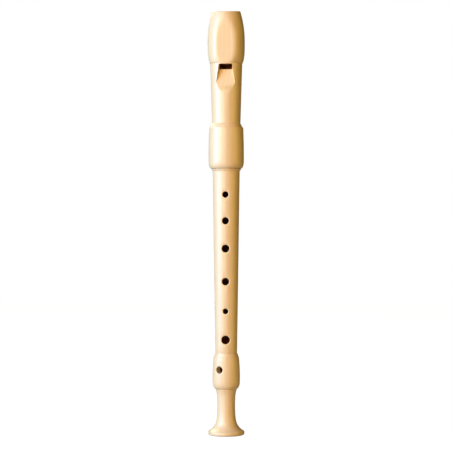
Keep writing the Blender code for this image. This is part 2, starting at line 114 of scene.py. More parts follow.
def closeShape():
    # all faces of the mesh being edited turned outwards, and edit mode left
    bpy.ops.mesh.select_all(action="SELECT")
    bpy.ops.mesh.normals_make_consistent(inside=False)
    bpy.ops.object.mode_set(mode="OBJECT")


def arcPoints(centreR, centreZ, radius, start, end, steps):
    angles = [math.radians(start + (end - start) * i / steps) for i in range(steps + 1)]
    return [(centreR + radius * math.cos(a), centreZ + radius * math.sin(a)) for a in angles]


def flarePoints(wide, narrow, low, high, fall, steps):
    # a flare that falls away exponentially from its wide lower end
    crowd = turning["flareCrowd"]
    parts = [(i / steps) ** crowd * (high - low) for i in range(steps + 1)]
    return [(narrow + (wide - narrow) * math.exp(-d / fall), low + d) for d in parts]


def covePoints(wide, narrow, low, high, fall, steps):
    # the same upside down: thin below, wide above
    crowd = turning["flareCrowd"]
    parts = [(1 - i / steps) ** crowd * (high - low) for i in range(steps + 1)]
    return [(narrow + (wide - narrow) * math.exp(-d / fall), high - d) for d in parts]


def swellPoints(start, widest, power, steps):
    # convex, from a narrow start up to the widest place, which is left to the next curve
    parts = [(i / steps) ** turning["swellCrowd"] for i in range(steps)]
    span = widest[0] - start[0]
    rise = widest[1] - start[1]
    return [(widest[0] - span * (1 - p) ** power, start[1] + rise * p) for p in parts]


def taperPoints(widest, end, power, steps):
    # from the widest place up to the end; a power of 1 is straight
    parts = [i / steps for i in range(steps + 1)]
    span = widest[0] - end[0]
    rise = end[1] - widest[1]
    return [(widest[0] - span * p**power, widest[1] + rise * p) for p in parts]


def cutLine(below, above, height, depth):
    # a fine round-bottomed groove between the radii on its two sides
    points = []
    for turn in range(-90, 91, 30):
        share = 0.5 + turn / 180
        radius = below + (above - below) * share - depth * math.cos(math.radians(turn))
        points.append((radius, height + joints["lineWidth"] * (share - 0.5)))
    return points


def roundCorner(radius, height, size, inward, upward):
    # a quarter round from a side to an end face; the corner would be at (radius, height)
    turns = [math.radians(a) for a in (0, 30, 60, 90)]
    return [
        (radius - inward * size * (1 - math.cos(a)), height - upward * size * (1 - math.sin(a)))
        for a in turns
    ]


def turnOnLathe(name, outline, steps):
    # one vertex drawn along the closed outline, then spun about the bore's axis
    deselectAll()
    bpy.ops.mesh.primitive_plane_add(size=mm)
    piece = bpy.context.object
    piece.name = name
    bpy.ops.object.mode_set(mode="EDIT")
    bpy.ops.mesh.select_all(action="SELECT")
    bpy.ops.mesh.merge(type="CENTER")
    bpy.ops.transform.translate(value=(outline[0][0] * mm, 0, outline[0][1] * mm))
    for before, after in zip(outline, outline[1:] + outline[:1]):
        step = ((after[0] - before[0]) * mm, 0, (after[1] - before[1]) * mm)
        bpy.ops.mesh.extrude_region_move(TRANSFORM_OT_translate={"value": step})
    bpy.ops.mesh.select_all(action="SELECT")
    bpy.ops.mesh.remove_doubles(threshold=turning["outlineWeld"] * mm)
    bpy.ops.mesh.spin(steps=steps, angle=2 * math.pi, center=(0, 0, 0), axis=(0, 0, 1))
    bpy.ops.mesh.select_all(action="SELECT")
    bpy.ops.mesh.remove_doubles(threshold=turning["turnedWeld"] * mm)
    closeShape()
    return piece


def boxBetween(name, lower, upper):
    # a block whose lower and upper ends are rectangles: (half width, back, front, height)
    deselectAll()
    bpy.ops.mesh.primitive_cube_add(size=2)
    piece = bpy.context.object
    piece.name = name
    for vertex in piece.data.vertices:
        half, back, front, height = upper if vertex.co.z > 0 else lower
        side = 1 if vertex.co.x > 0 else -1
        vertex.co = (side * half * mm, (-front if vertex.co.y < 0 else -back) * mm, height * mm)
    return piece


def combine(piece, operation, others):
    for other in others:
        boolean = piece.modifiers.new(other.name, "BOOLEAN")
        boolean.operation = operation
        boolean.solver = "EXACT"
        boolean.object = other
    applyAll(piece)
    for other in others:
        bpy.data.objects.remove(other)


def cutAway(piece, *cutters):
    combine(piece, "DIFFERENCE", cutters)


def smoothShade(piece, degrees):
    pick(piece)
    bpy.ops.object.shade_smooth_by_angle(angle=math.radians(degrees))


# Foot joint

foot = {
    "neck": 6.9,            # radius at the thinnest place
    "rim": 3.1,             # height of the bell's rim
    "rimEdge": 1.2,
    "rimTurn": 60,          # degrees of the rim's upper round before the flare takes over
    "flare": 19.6,          # height of the flare above the rim
    "flareFall": 3.8,       # the flare sinks to about a third of its width in each such length
    "neckLength": 12.7,
    "cove": 1.4,            # the neck widens by this under the barrel
    "coveFall": 3.2,
    "barrelStep": 0.4,
    "barrelLength": 25.2,
    "widestAt": 10.0,
    "fullness": 5,          # power of the barrel's swelling; higher is fuller
    "swell": 0.7,
    "lipWall": 0.9,         # wood round the socket at the very top
    "lipSlope": 1.4,
    "lipStep": 0.1,
    "lipLine": 0.08,        # this line is hardly cut
    "hairline": 0.06,       # the foot is pushed home, so hardly any seam shows above it
    "boreMouth": 0.8,
    "holeDrop": 12.6,       # the little finger's hole, below the joint's top
    "holeWidth": 5.4,
    "holeTurn": 29.0,       # degrees towards the player's right little finger
    "holeSwell": 0.8,       # share of the swell that is left where the hole is
    "boreReach": 5.2,       # wood inside this radius that faces inwards is oil-soaked
}
lipRadius = lowSocket + foot["lipWall"]
footBarrel = lipRadius + foot["lipSlope"] + foot["lipStep"]


def footOutline():
    line = joints["lineWidth"]
    edge = joints["bellRadius"] - foot["rimEdge"]
    turned = math.radians(foot["rimTurn"])
    start = foot["rim"] - foot["rimEdge"] * math.sin(turned)
    flareWide = edge + foot["rimEdge"] * math.cos(turned)
    thin = foot["rim"] + foot["flare"]
    barrelLow = thin + foot["neckLength"]
    lipLow = barrelLow + foot["barrelLength"]
    lipFoot = lipRadius + foot["lipSlope"]
    top = middleLow - foot["hairline"]
    widest = (footBarrel + foot["swell"], barrelLow + foot["widestAt"])
    cove = foot["neck"] + foot["cove"]
    barrelFoot = cove + foot["barrelStep"]
    floor = joints["lowTenonEnd"] - joints["fitGap"]
    points = [(joints["bellBore"] + foot["boreMouth"], 0)]
    points += arcPoints(edge, foot["rimEdge"], foot["rimEdge"], -90, 0, steps=8)
    points += arcPoints(edge, start, foot["rimEdge"], 0, foot["rimTurn"], steps=7)[:-1]
    points += flarePoints(flareWide, foot["neck"], foot["rim"], thin, foot["flareFall"], steps=26)
    points += covePoints(cove, foot["neck"], thin, barrelLow, foot["coveFall"], steps=16)[1:]
    points += cutLine(cove, barrelFoot, barrelLow + line / 2, joints["lineDepth"])[1:-1]
    points += swellPoints((barrelFoot, barrelLow + line), widest, foot["fullness"], steps=20)
    points += taperPoints(widest, (footBarrel, lipLow - line), power=2, steps=14)[:-1]
    points += cutLine(footBarrel, lipFoot, lipLow - line / 2, foot["lipLine"])
    points += roundCorner(lipRadius, top, joints["tightEdge"], inward=1, upward=1)
    points += [(lowSocket + joints["mouth"], top), (lowSocket, top - joints["mouth"])]
    points += [(lowSocket, floor), (joints["footBore"], floor)]
    points += roundCorner(joints["bellBore"], 0, foot["boreMouth"], inward=-1, upward=-1)[:-1]
    return points


# Middle joint

middle = {
    "lowShoulder": 1.2,     # the shoulders stand out from the tenons
    "highShoulder": 2.3,
    "ringHeight": 1.8,      # the ring under the head
    "ringCove": 1.0,
    "ringStep": 0.3,
    "ringFall": 0.7,
    "tenonChamfer": 0.4,
    "lowCorkInside": 6.2,   # floor of each cork's groove
    "highCorkInside": 7.9,
    # height above the joint's foot and width of each hole
    "holes": [(123.5, 4.7), (103.1, 5.3), (81.5, 5.8), (55.8, 5.6), (32.7, 4.1), (10.4, 6.5)],
    "thumbHole": (130.5, 5.5),
}
middleFoot = joints["lowCork"] + middle["lowShoulder"]
ringRadius = joints["highCork"] + middle["highShoulder"]
middleTop = ringRadius - middle["ringFall"] - middle["ringStep"]


def corkGroove(node, wood, floor):
    low, high = boxOf(node)
    below, above = low[2] - joints["fitGap"], high[2] + joints["fitGap"]
    return [(wood, below), (floor, below), (floor, above), (wood, above)]


def middleOutline():
    lowWood = joints["lowCork"] - joints["corkProud"]
    highWood = joints["highCork"] - joints["corkProud"]
    chamfer, edge, line = middle["tenonChamfer"], joints["edge"], joints["lineWidth"]
    low, high = joints["lowTenonEnd"], joints["highTenonEnd"]
    ringLow = middleHigh - middle["ringHeight"]
    coveLow = ringLow - line / 2 - middle["ringCove"]
    coveTop = middleTop + middle["ringStep"] / 2
    ringFoot = (middleTop + middle["ringStep"], ringLow + line / 2)
    points = [(joints["lowBore"], low), (lowWood - chamfer, low), (lowWood, low + chamfer)]
    points += corkGroove("lower_tenon_cork", lowWood, middle["lowCorkInside"])
    points += [(lowWood, middleLow)]
    tight = joints["tightEdge"]
    bodyFoot, bodyTop = (middleFoot, middleLow + tight), (middleTop, coveLow)
    points += roundCorner(middleFoot, middleLow, tight, inward=1, upward=-1)[::-1]
    points += taperPoints(bodyFoot, bodyTop, power=1, steps=24)[1:]
    points += taperPoints(bodyTop, (coveTop, ringLow - line / 2), power=2, steps=4)[1:-1]
    points += cutLine(coveTop, ringFoot[0], ringLow, joints["lineDepth"])
    points += swellPoints(ringFoot, (ringRadius, middleHigh - edge), power=2, steps=8)[1:]
    points += roundCorner(ringRadius, middleHigh, edge, inward=1, upward=1)
    points += [(highWood, middleHigh)]
    points += corkGroove("upper_tenon_cork", highWood, middle["highCorkInside"])
    points += [(highWood, high - chamfer), (highWood - chamfer, high), (joints["highBore"], high)]
    return points


# Head joint

head = {
    "mouthWall": 2.7,       # wood round the socket at its mouth
    "socketSwell": 1.6,
    "socketFullness": 4.4,
    "socketLength": 32.3,
    "socketWidest": 8.5,    # height of its widest place above its mouth
    "socketTaper": 0.45,
    "socketEdge": 1.0,
    "socketTurn": 68,       # degrees of its upper round before the fine line
    "collarHeight": 2.8,
    "collarSlope": 1.0,
    "collarStep": 0.25,
    "tubeLow": 11.1,        # radii of the tube at its two ends
    "tubeHigh": 12.5,
    "tubeLength": 47.0,
    "bulbStep": 0.25,       # the bulb is what the beak is cut from
    "bulbSwell": 1.75,
    "bulbFullness": 4,
    "bulbLength": 40.9,
    "bulbWidest": 17.6,
    "tipRadius": 11.2,
    "tipEdge": 0.7,
    "boreReach": 6.9,       # as in the foot
}
collarLow = joints["headLow"] + head["socketLength"]
tubeLow = collarLow + head["collarHeight"]
ringLine = tubeLow + head["tubeLength"]
tip = ringLine + head["bulbLength"]
bulbWidest = ringLine + head["bulbWidest"]

voicing = {
    "exitWidth": 9.8,       # the windway where it opens into the window
    "mouthWidth": 11.2,     # and where the player blows
    "exitFloor": 6.70,      # heights in front of the bore's axis
    "mouthFloor": 6.40,
    "exitRoof": 7.80,
    "mouthRoof": 8.20,
    "slotPast": 1,          # the slot's cutter goes on past the tip
    "windowDrop": 1.1,      # the window's top, under the line round the head
    "cutUp": 4.0,           # height of the window
    "labium": 7.10,
    "rampAngle": 13.6,      # degrees, as the next two
    "rampFlare": 9.6,
    "rampDraft": 3.0,
    "rampInset": 0.02,      # at its top the ramp is narrower than the slot by this on each side
    "undercut": 8.0,        # length of the hollow behind the labium
    "undercutPast": 0.05,   # cuts overlap, so that no skin is left between them
    "runOut": 6.0,          # length in which the hollow runs out into the bore
    "runOutPast": 0.01,
    "runOutFloor": 2.8,     # well inside the bore
    "facetLow": 12.25,      # the flat front of the beak, in front of the axis
    "facetHigh": 12.7,
    "facetBlend": 0.9,
    "facetReach": 0.2,      # wood that faces less than this towards the front isn't planed
    "scoopRadius": 36.0,
    "scoopWidth": 60,
    "scoopSteps": 256,
    "tipRear": 0.5,         # the scoop leaves the tip's rear edge this far in front of the axis
    "tipSlant": 7.0,        # degrees; the end face falls towards the front lip
}
windwayEnd = ringLine - voicing["windowDrop"]
labiumLine = windwayEnd - voicing["cutUp"]


def headOutline():
    line = joints["lineWidth"]
    low = joints["headLow"]
    mouth = highSocket + head["mouthWall"]
    widest = (mouth + head["socketSwell"], low + head["socketWidest"])
    barrelTop = widest[0] - head["socketTaper"]
    corner = head["socketEdge"]
    collar = head["tubeLow"] + head["collarStep"]
    collarFoot = collar + head["collarSlope"]
    tubeFoot = (head["tubeLow"], tubeLow)
    tubeTop = (head["tubeHigh"], ringLine - line)
    bulbFoot = head["tubeHigh"] + head["bulbStep"]
    floor = joints["highTenonEnd"] + joints["fitGap"]
    edge = head["tipEdge"]
    points = [(highSocket + joints["mouth"], low)]
    points += swellPoints((mouth, low), widest, head["socketFullness"], steps=20)
    points += taperPoints(widest, (barrelTop, collarLow - corner), power=2, steps=12)[:-1]
    points += arcPoints(
        barrelTop - corner, collarLow - corner, corner, 0, head["socketTurn"], steps=8
    )
    points += cutLine(collarFoot, collarFoot, collarLow + line / 2, joints["lineDepth"] / 2)[1:]
    points += [(collar, tubeLow - line / 2), tubeFoot]
    points += taperPoints(tubeFoot, tubeTop, power=1, steps=40)[1:-1]
    points += cutLine(tubeTop[0], tubeTop[0], ringLine - line / 2, joints["lineDepth"])
    fullest = (bulbFoot + head["bulbSwell"], bulbWidest)
    points += swellPoints((bulbFoot, ringLine), fullest, head["bulbFullness"], steps=30)
    points += taperPoints(fullest, (head["tipRadius"], tip - edge), power=2, steps=34)[:-1]
    points += arcPoints(head["tipRadius"] - edge, tip - edge, edge, 15, 90, steps=7)
    points += [(joints["headBore"], tip), (joints["headBore"], floor)]
    points += [(highSocket, floor), (highSocket, low + joints["mouth"])]
    return points


def slantTip(piece):
    # the beak's end face falls a little towards the front lip
    slope = math.tan(math.radians(voicing["tipSlant"]))
    for vertex in piece.data.vertices:
        part = (vertex.co.z / mm - bulbWidest) / (tip - bulbWidest)
        vertex.co.z += vertex.co.y * slope * max(part, 0) ** 2


def flattenBeak(piece):
    # the front of the beak is planed flat, and its edge is softened into the round
    for vertex in piece.data.vertices:
        radius = math.hypot(vertex.co.x, vertex.co.y) / mm
        height = vertex.co.z / mm
        facesFront = vertex.co.y <= -voicing["facetReach"] * radius * mm
        if height < windwayEnd or not facesFront or radius < highSocket:
            continue
        part = (height - ringLine) / head["bulbLength"]
        ahead = voicing["facetLow"] + (voicing["facetHigh"] - voicing["facetLow"]) * part
        flat = ahead * radius * mm / -vertex.co.y
        gap = (flat - radius) / voicing["facetBlend"]
        if abs(gap) >= 1:
            cutTo = min(flat, radius)
        else:
            share = 0.5 + 0.5 * gap
            cutTo = flat + (radius - flat) * share - voicing["facetBlend"] * share * (1 - share)
        vertex.co.x *= cutTo / radius
        vertex.co.y *= cutTo / radius


def windwayCutters():
    # the windway's slot with its sloping roof, and the hollow behind the labium
    exitHalf, mouthHalf = voicing["exitWidth"] / 2, voicing["mouthWidth"] / 2
    exitRoof, labium = voicing["exitRoof"], voicing["labium"]
    past = 1 + voicing["slotPast"] / (tip - windwayEnd)
    pastHalf = exitHalf + (mouthHalf - exitHalf) * past
    pastRoof = exitRoof + (voicing["mouthRoof"] - exitRoof) * past
    hollowEnd = labiumLine - voicing["undercut"]
    slot = boxBetween(
        "windwaySlot",
        (exitHalf, 0, exitRoof, windwayEnd),
        (pastHalf, 0, pastRoof, tip + voicing["slotPast"]),
    )
    under = boxBetween(
        "labiumUndercut",
        (exitHalf, 0, labium, hollowEnd),
        (exitHalf, 0, labium, windwayEnd + voicing["undercutPast"]),
    )
    runOut = boxBetween(
        "undercutRunOut",
        (exitHalf, 0, voicing["runOutFloor"], hollowEnd - voicing["runOut"]),
        (exitHalf, 0, labium, hollowEnd + voicing["runOutPast"]),
    )
    return slot, under, runOut


def rampCutter():
    # the window and the ramp below it in one cut, whose sides open outwards and downwards
    slope, flare, draft = (
        math.tan(math.radians(voicing[angle])) for angle in ("rampAngle", "rampFlare", "rampDraft")
    )
    frontCorners = (0, 1, 4, 5)     # a cube's corners on its -Y side
    down = (head["tubeHigh"] - voicing["labium"]) / slope + 2 * voicing["cutUp"]
    outside = 2 * head["tubeHigh"]
    ramp = boxBetween("labiumRamp", (1, 0, 0, labiumLine - down), (1, 0, 0, windwayEnd))
    for vertex in ramp.data.vertices:
        height = vertex.co.z / mm
        floor = voicing["labium"] + (labiumLine - height) * slope
        half = voicing["exitWidth"] / 2 - voicing["rampInset"] + (windwayEnd - height) * flare
        if vertex.index in frontCorners:
            vertex.co.y = -outside * mm
            half += (outside - floor) * draft
        else:
            vertex.co.y = -floor * mm
        vertex.co.x = math.copysign(half * mm, vertex.co.x)
    return ramp


def scoopCutter(name):
    # a wide cylinder across the back of the beak, where the player's lower lip lies
    deselectAll()
    bpy.ops.mesh.primitive_cylinder_add(
        vertices=voicing["scoopSteps"],
        radius=voicing["scoopRadius"] * mm,
        depth=voicing["scoopWidth"] * mm,
        location=(0, (voicing["scoopRadius"] - voicing["tipRear"]) * mm, tip * mm),
        rotation=(0, math.pi / 2, 0),
    )
    bpy.ops.object.transform_apply(location=True, rotation=True, scale=True)
    scoop = bpy.context.object
    scoop.name = name
    return scoop


# Tone holes

toneHole = {
    "undercut": 0.3,        # wider by this at the bore
    "mouthRound": 0.75,     # the mouth is rounded over where the finger seals it
    "mouthTurns": (15, 30, 45, 57, 68),     # degrees round that rounding
    "pastMouth": ((0.42, 0.17), (0.9, 1.2)),    # wider and further out, past the wood
    "slack": 0.01,          # the ring where the rounding starts is found within this
    "sideShare": 0.95,      # share of the joint's radius past which its round isn't followed
    "paleShare": 0.72,      # share of the rounding, from outside, left pale; deeper in, the hole's wall gets the bore's finish as painted shade
    "steps": 56,
}


def holeCutter(name, height, width, turnDegrees, bore, outside):
    # made upright from rings of (radius, distance from the bore's axis), then laid down and turned
    deselectAll()
    spread = toneHole["undercut"] / (outside - bore)
    rounding = toneHole["mouthRound"]
    straight = outside - rounding
    rings = [(width / 2 + spread * (outside - depth), depth) for depth in (0, bore, straight)]
    for turn in toneHole["mouthTurns"]:
        a = math.radians(turn)
        rings.append((width / 2 + rounding * (1 - math.cos(a)), straight + rounding * math.sin(a)))
    last = rings[-1]
    rings += [(last[0] + wider, last[1] + further) for wider, further in toneHole["pastMouth"]]
    bpy.ops.mesh.primitive_circle_add(
        vertices=toneHole["steps"], radius=rings[0][0] * mm, fill_type="NGON"
    )
    cutter = bpy.context.object
    cutter.name = name
    bpy.ops.object.mode_set(mode="EDIT")
    bpy.ops.mesh.select_all(action="SELECT")
    for before, after in zip(rings, rings[1:]):
        step = (0, 0, (after[1] - before[1]) * mm)
        bpy.ops.mesh.extrude_region_move(TRANSFORM_OT_translate={"value": step})
        grow = after[0] / before[0]
        bpy.ops.transform.resize(value=(grow, grow, 1))
    closeShape()
    for vertex in cutter.data.vertices:     # the rounded mouth follows the joint's round surface
        if vertex.co.z > (straight - toneHole["slack"]) * mm:
            across = min(abs(vertex.co.x) / mm, outside * toneHole["sideShare"])
            vertex.co.z -= (outside - math.sqrt(outside**2 - across**2)) * mm
    cutter.rotation_euler = (math.pi / 2, 0, math.radians(turnDegrees))
    cutter.location = (0, 0, height * mm)
    pick(cutter)
    bpy.ops.object.transform_apply(location=True, rotation=True, scale=True)
    return cutter


def middleHole(name, above, width, turnDegrees):
    part = above / (middleHigh - middleLow)
    bore = joints["lowBore"] + (joints["highBore"] - joints["lowBore"]) * part
    outside = middleFoot + (middleTop - middleFoot) * part
    return holeCutter(name, middleLow + above, width, turnDegrees, bore, outside)


def joinAll(parts):
    deselectAll()
    for part in parts:
        part.select_set(True)
    bpy.context.view_layer.objects.active = parts[0]
    bpy.ops.object.join()
    return parts[0]


# The block and the corks

block = {
    "chamfer": 0.6,         # on the edge of its flat top at the window
    "chamferPast": 0.3,
    "chamferFoot": 6.0,     # in front of the axis
    "chamferOut": 9,
    "steps": 96,
    "smooth": 30,
}


def makeBlock():
    # a round plug with a flat-topped rail that fills the windway's slot up to its floor
    gap = joints["fitGap"]
    radius = (joints["headBore"] - gap) * mm
    deselectAll()
    bpy.ops.mesh.primitive_circle_add(vertices=block["steps"], radius=radius, fill_type="NGON")
    plug = bpy.context.object
    plug.name = "cedarBlock"
    bpy.ops.object.mode_set(mode="EDIT")
    bpy.ops.mesh.select_all(action="SELECT")
    bpy.ops.transform.translate(value=(0, 0, windwayEnd * mm))
    bpy.ops.mesh.extrude_region_move(
        TRANSFORM_OT_translate={"value": (0, 0, (tip - windwayEnd) * mm)}
    )
    closeShape()
    rail = boxBetween(
        "blockRail",
        (voicing["exitWidth"] / 2 - gap, 0, voicing["exitFloor"], windwayEnd),
        (voicing["mouthWidth"] / 2 - gap, 0, voicing["mouthFloor"], tip),
    )
    slantTip(plug)
    slantTip(rail)
    combine(plug, "UNION", [rail])
    past, out = block["chamferPast"], block["chamferOut"]
    reach = block["chamfer"] + past
    chamfer = boxBetween(
        "blockChamfer",
        (out, block["chamferFoot"], out, windwayEnd - reach),
        (out, voicing["exitFloor"] + past, out, windwayEnd + reach),
    )
    cutAway(plug, chamfer, scoopCutter("blockScoop"))
    smoothShade(plug, block["smooth"])
    return plug


corkBand = {
    "edge": 0.25,           # sanded corners
    "edgeTurn": 70,         # degrees
    "steps": 96,
    "smooth": 35,
}


def makeCork(name, node):
    low, high = boxOf(node)
    inside = middle["lowCorkInside"] if node.startswith("lower") else middle["highCorkInside"]
    inside += joints["fitGap"]
    outside, edge, turn = high[0], corkBand["edge"], corkBand["edgeTurn"]
    points = [(inside, low[2]), (outside - edge, low[2])]
    points += arcPoints(outside - edge, low[2] + edge, edge, -turn, 0, steps=4)
    points += arcPoints(outside - edge, high[2] - edge, edge, 0, turn, steps=4)
    points += [(outside - edge, high[2]), (inside, high[2])]
    band = turnOnLathe(name, points, corkBand["steps"])
    smoothShade(band, corkBand["smooth"])
    return band


# Finishes

def fromHex(text):
    # sRGB hex to linear
    values = [int(text[i:i + 2], 16) / 255 for i in (1, 3, 5)]
    return tuple(v / 12.92 if v <= 0.04045 else ((v + 0.055) / 1.055) ** 2.4 for v in values) + (1,)


def addNode(tree, kind, inputs=None, **settings):
    node = tree.nodes.new(kind)
    for name, value in settings.items():
        setattr(node, name, value)
    for name, value in (inputs or {}).items():
        if isinstance(value, bpy.types.NodeSocket):
            tree.links.new(value, node.inputs[name])
        else:
            node.inputs[name].default_value = value
    return node


def newFinish(name):
    finish = bpy.data.materials.new(name)
    finish.use_nodes = True
    finish.node_tree.nodes.clear()
    return finish, finish.node_tree


def ringScale(spacing):
    # at scale 1 a wave texture's rings are a tenth of pi metres apart
    return math.pi / (10 * spacing * mm)


maple = {
    "light": "#f3d4a4",
    "dark": "#efcc98",
    "fleck": "#e6bb82",
    "ringSpacing": 2.6,     # growth rings
    "ringWander": 2.2,
    "pith": (-46, 31),      # where the tree's heart was, beside the turned piece
    "alongBore": 0.06,      # the rings hardly change along the bore
    "fibre": (0.5, 9.0),    # width and length of a streak, drawn coarser than the real fibre
    "fibreShare": 0.45,     # of the figure; the rest is growth rings
    "fleckSize": (0.45, 1.6, 1.9),
    "fleckEdge": (0.62, 0.78),
    "fleckShare": 0.35,
    "roughness": 0.5,
    "smoother": 0.05,       # in the fibre's hollows, and rougher on its ridges
    "rougher": 0.07,
    "relief": 0.12,
    "reliefDepth": 0.04,
    "ior": 1.47,
    "oil": 1.0,             # how much of the surface the rubbed-in oil still covers
    "oilRoughness": 0.36,
}


def makeMaple():
    # oiled maple off a lathe: tight pale figure running up the bore, and a satin sheen
    finish, tree = newFinish("oiledMaple")
    place = addNode(tree, "ShaderNodeTexCoord").outputs["Object"]
    aside = addNode(tree, "ShaderNodeMapping", {
        "Vector": place,
        "Location": (-maple["pith"][0] * mm, -maple["pith"][1] * mm, 0),
        "Scale": (1, 1, maple["alongBore"]),
    })
    rings = addNode(tree, "ShaderNodeTexWave", {
        "Vector": aside.outputs[0],
        "Scale": ringScale(maple["ringSpacing"]),
        "Distortion": maple["ringWander"],
        "Detail": 2.0,
        "Detail Scale": 0.5,
    }, wave_type="RINGS", rings_direction="Z")
    width, length = maple["fibre"]
    along = addNode(tree, "ShaderNodeMapping", {
        "Vector": place,
        "Scale": (1 / (width * mm), 1 / (width * mm), 1 / (length * mm)),
    })
    fibre = addNode(tree, "ShaderNodeTexNoise", {
        "Vector": along.outputs[0], "Scale": 1.0, "Detail": 4.0, "Roughness": 0.6,
    })
    flecks = addNode(tree, "ShaderNodeMapping", {
        "Vector": place,
        "Scale": tuple(1 / (size * mm) for size in maple["fleckSize"]),
    })
    fleckNoise = addNode(tree, "ShaderNodeTexNoise", {
        "Vector": flecks.outputs[0], "Scale": 1.0, "Detail": 1.0,
    })
    fleckShare = addNode(tree, "ShaderNodeMapRange", {
        "Value": fleckNoise.outputs["Fac"],
        "From Min": maple["fleckEdge"][0],
        "From Max": maple["fleckEdge"][1],
        "To Max": maple["fleckShare"],
    })
    blend = addNode(tree, "ShaderNodeMix", {
        0: maple["fibreShare"], 2: rings.outputs["Fac"], 3: fibre.outputs["Fac"],
    }, data_type="FLOAT")
    figure = addNode(tree, "ShaderNodeMix", {
        0: blend.outputs[0], 6: fromHex(maple["dark"]), 7: fromHex(maple["light"]),
    }, data_type="RGBA")
    flecked = addNode(tree, "ShaderNodeMix", {
        0: fleckShare.outputs[0], 6: figure.outputs[2], 7: fromHex(maple["fleck"]),
    }, data_type="RGBA")
    roughness = addNode(tree, "ShaderNodeMapRange", {
        "Value": fibre.outputs["Fac"],
        "To Min": maple["roughness"] - maple["smoother"],
        "To Max": maple["roughness"] + maple["rougher"],
    })
    bump = addNode(tree, "ShaderNodeBump", {
        "Height": fibre.outputs["Fac"],
        "Strength": maple["relief"],
        "Distance": maple["reliefDepth"] * mm,
    })
    shader = addNode(tree, "ShaderNodeBsdfPrincipled", {
        "Base Color": flecked.outputs[2],
        "Roughness": roughness.outputs[0],
        "Normal": bump.outputs[0],
        "IOR": maple["ior"],
        "Coat Weight": maple["oil"],
        "Coat Roughness": maple["oilRoughness"],
        "Coat IOR": maple["ior"],
    })
    addNode(tree, "ShaderNodeOutputMaterial", {"Surface": shader.outputs[0]})
    return finish


boreWood = {
    "light": "#b8623a",
    "dark": "#8a4024",
    "fibre": (0.6, 12),     # width and length of a streak, coarser than the real fibre too
    "roughness": 0.5,
    "inward": 0.5,          # a face turned this much towards the axis counts as inside
}


def makeBoreFinish():
    # the same wood soaked with years of bore oil, which turns it red brown
    finish, tree = newFinish("oilSoakedBore")
    place = addNode(tree, "ShaderNodeTexCoord").outputs["Object"]
    width, length = boreWood["fibre"]
    along = addNode(tree, "ShaderNodeMapping", {
        "Vector": place,
        "Scale": (1 / (width * mm), 1 / (width * mm), 1 / (length * mm)),
    })
    fibre = addNode(tree, "ShaderNodeTexNoise", {
        "Vector": along.outputs[0], "Scale": 1.0, "Detail": 3.0,
    })
    colour = addNode(tree, "ShaderNodeMix", {
        0: fibre.outputs["Fac"], 6: fromHex(boreWood["dark"]), 7: fromHex(boreWood["light"]),
    }, data_type="RGBA")
    shader = addNode(tree, "ShaderNodeBsdfPrincipled", {
        "Base Color": colour.outputs[2], "Roughness": boreWood["roughness"], "IOR": maple["ior"],
    })
    addNode(tree, "ShaderNodeOutputMaterial", {"Surface": shader.outputs[0]})
    return finish


cedar = {
    "light": "#b9764c",
    "dark": "#8a4a2b",
    "ringSpacing": 1.1,
    "ringWander": 1.5,
    "pith": (-31, 12),
    "alongBore": 0.05,
    "roughness": 0.62,
    "relief": 0.2,
    "reliefDepth": 0.05,
}


def makeCedar():
    # bare red cedar: close dark rings, no finish on it, so it stays dull
    finish, tree = newFinish("bareCedar")
    place = addNode(tree, "ShaderNodeTexCoord").outputs["Object"]
    aside = addNode(tree, "ShaderNodeMapping", {
        "Vector": place,
        "Location": (-cedar["pith"][0] * mm, -cedar["pith"][1] * mm, 0),
        "Scale": (1, 1, cedar["alongBore"]),
    })
    rings = addNode(tree, "ShaderNodeTexWave", {
        "Vector": aside.outputs[0],
        "Scale": ringScale(cedar["ringSpacing"]),
        "Distortion": cedar["ringWander"],
        "Detail": 2.0,
    }, wave_type="RINGS", rings_direction="Z")
    colour = addNode(tree, "ShaderNodeMix", {
        0: rings.outputs["Fac"], 6: fromHex(cedar["dark"]), 7: fromHex(cedar["light"]),
    }, data_type="RGBA")
    bump = addNode(tree, "ShaderNodeBump", {
        "Height": rings.outputs["Fac"],
        "Strength": cedar["relief"],
        "Distance": cedar["reliefDepth"] * mm,
    })
    shader = addNode(tree, "ShaderNodeBsdfPrincipled", {
        "Base Color": colour.outputs[2], "Roughness": cedar["roughness"], "Normal": bump.outputs[0],
    })
    addNode(tree, "ShaderNodeOutputMaterial", {"Surface": shader.outputs[0]})
    return finish


cork = {
    "light": "#c9a06c",
    "dark": "#8a5f38",
    "pore": "#4e3018",
    "grain": 0.9,           # size of a cork cell cluster
    "mottle": 1.8,          # size of a paler or darker patch
    "poreEdge": (0.05, 0.3),
    "poreShare": 0.8,
    "roughness": 0.85,
    "relief": 0.5,
    "reliefDepth": 0.1,
}


